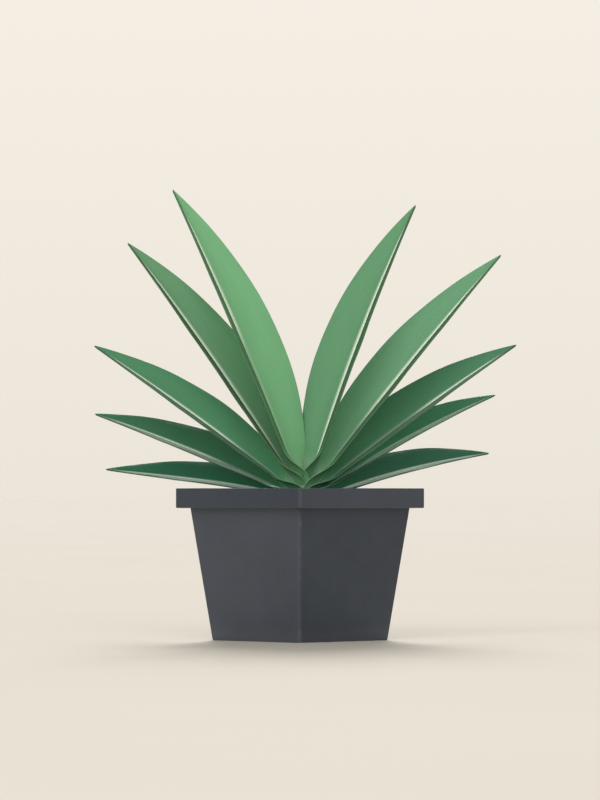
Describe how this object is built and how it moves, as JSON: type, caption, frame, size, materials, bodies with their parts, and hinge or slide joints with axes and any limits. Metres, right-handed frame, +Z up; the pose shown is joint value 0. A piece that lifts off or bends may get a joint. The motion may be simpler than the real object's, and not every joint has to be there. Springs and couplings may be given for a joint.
{
  "type": "potted dracaena",
  "caption": "Young dracaena in a square tapered planter with a wide rim band: pointed blade leaves, folded along the midrib, fan out from a short stem in the soil.",
  "frame": {"origin": "centre of the planter's underside", "axes": "+Z up; the planter's four corners lie on the X and Y axes; -Y is the front corner, which the leaves face; +X is to the right seen from the front"},
  "size_m": [0.3116, 0.2038, 0.3274],
  "materials": {
    "planter": "fine matte moulded plastic, dark charcoal",
    "soil": "crumbly potting soil, matte",
    "stem": "smooth ringed cane, satin",
    "leaf_tier_1": "leathery leaf with a soft sheen, pale midrib and margin",
    "leaf_tier_2": "leathery leaf with a soft sheen, pale midrib and margin",
    "leaf_tier_3": "leathery leaf with a soft sheen, pale midrib and margin",
    "leaf_tier_4": "leathery leaf with a soft sheen, pale midrib and margin",
    "leaf_tier_5": "leathery leaf with a soft sheen, pale midrib and margin"
  },
  "bodies": {
    "root": {"planter": "planter", "soil": "soil", "stem": "stem", "leaf_left_1": "leaf_tier_1", "leaf_right_1": "leaf_tier_1", "leaf_left_2": "leaf_tier_2", "leaf_right_2": "leaf_tier_2", "leaf_left_3": "leaf_tier_3", "leaf_right_3": "leaf_tier_3", "leaf_left_4": "leaf_tier_4", "leaf_right_4": "leaf_tier_4", "leaf_left_5": "leaf_tier_5", "leaf_right_5": "leaf_tier_5"}
  },
  "joints": []
}
